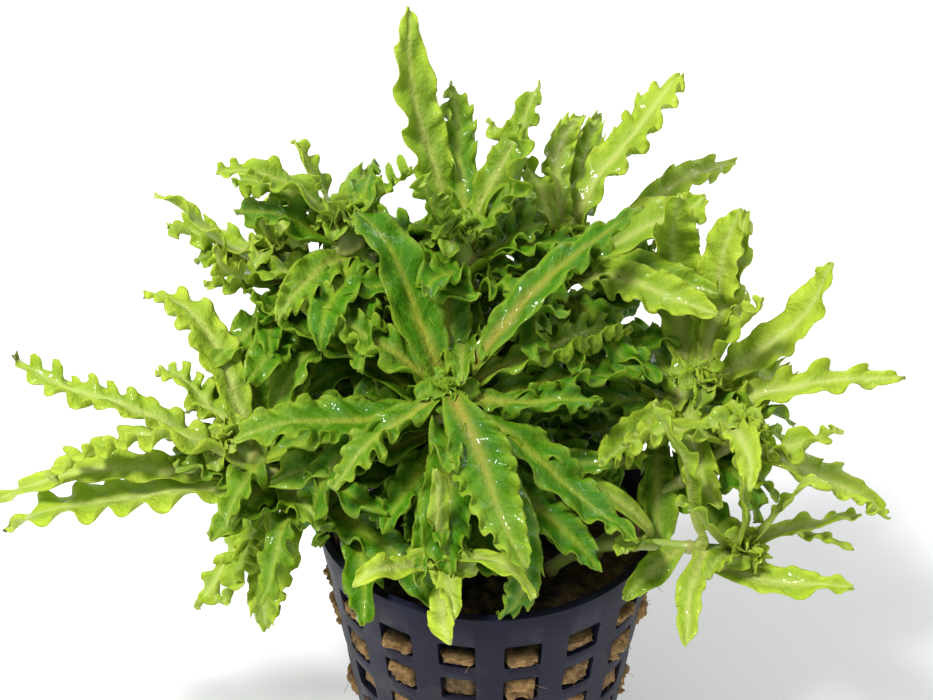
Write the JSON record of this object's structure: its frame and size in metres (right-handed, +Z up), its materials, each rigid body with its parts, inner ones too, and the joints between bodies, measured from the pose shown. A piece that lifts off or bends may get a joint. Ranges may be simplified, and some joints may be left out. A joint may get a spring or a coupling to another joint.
{
  "type": "potted pogostemon",
  "caption": "Bushy bunch of aquatic plants with long crinkle-edged leaves in whorls on leaning stems, wedged by a rock wool plug into a slatted net pot.",
  "frame": {"origin": "middle of the flat underside of the net pot", "axes": "+Z up along the pot's axis, -Y towards the front of the bunch, +X to its right seen from the front"},
  "size_m": [0.1338, 0.0833, 0.1188],
  "materials": {
    "pot_plastic": "injection moulded polypropylene, nearly black with a blue cast, lightly worn",
    "rock_wool": "brown mineral fibre, loose and matted, damp",
    "stem_skin": "smooth pale green living stem, slightly translucent",
    "leaf_skin": "thin crinkled living leaf, glossy and wet, dark green at the midrib and yellow-green at the ruffled edge"
  },
  "bodies": {
    "root": {"net_pot": "pot_plastic", "rock_wool_plug": "rock_wool", "stem_centre": "stem_skin", "stem_left": "stem_skin", "stem_left_back": "stem_skin", "stem_left_top": "stem_skin", "stem_top_left": "stem_skin", "stem_top_right": "stem_skin", "stem_right": "stem_skin", "stem_right_side": "stem_skin", "stem_runner": "stem_skin", "stem_front": "stem_skin", "leaf_centre_1": "leaf_skin", "leaf_centre_2": "leaf_skin", "leaf_centre_3": "leaf_skin", "leaf_centre_4": "leaf_skin", "leaf_centre_5": "leaf_skin", "leaf_centre_6": "leaf_skin", "leaf_centre_7": "leaf_skin", "leaf_centre_8": "leaf_skin", "leaf_centre_9": "leaf_skin", "leaf_centre_10": "leaf_skin", "leaf_centre_11": "leaf_skin", "leaf_centre_12": "leaf_skin", "leaf_centre_13": "leaf_skin", "leaf_left_1": "leaf_skin", "leaf_left_2": "leaf_skin", "leaf_left_3": "leaf_skin", "leaf_left_4": "leaf_skin", "leaf_left_5": "leaf_skin", "leaf_left_6": "leaf_skin", "leaf_left_7": "leaf_skin", "leaf_left_back_1": "leaf_skin", "leaf_left_back_2": "leaf_skin", "leaf_left_top_1": "leaf_skin", "leaf_left_top_2": "leaf_skin", "leaf_top_left_1": "leaf_skin", "leaf_top_left_2": "leaf_skin", "leaf_top_left_3": "leaf_skin", "leaf_top_right_1": "leaf_skin", "leaf_top_right_2": "leaf_skin", "leaf_top_right_3": "leaf_skin", "leaf_top_right_4": "leaf_skin", "leaf_top_right_5": "leaf_skin", "leaf_right_1": "leaf_skin", "leaf_right_2": "leaf_skin", "leaf_right_3": "leaf_skin", "leaf_right_4": "leaf_skin", "leaf_right_5": "leaf_skin", "leaf_right_6": "leaf_skin", "leaf_right_side_1": "leaf_skin", "leaf_right_side_2": "leaf_skin", "leaf_runner_1": "leaf_skin", "leaf_runner_2": "leaf_skin", "leaf_runner_3": "leaf_skin", "leaf_runner_4": "leaf_skin", "leaf_runner_5": "leaf_skin", "leaf_front_1": "leaf_skin", "leaf_front_2": "leaf_skin", "leaf_front_3": "leaf_skin"}
  },
  "joints": []
}
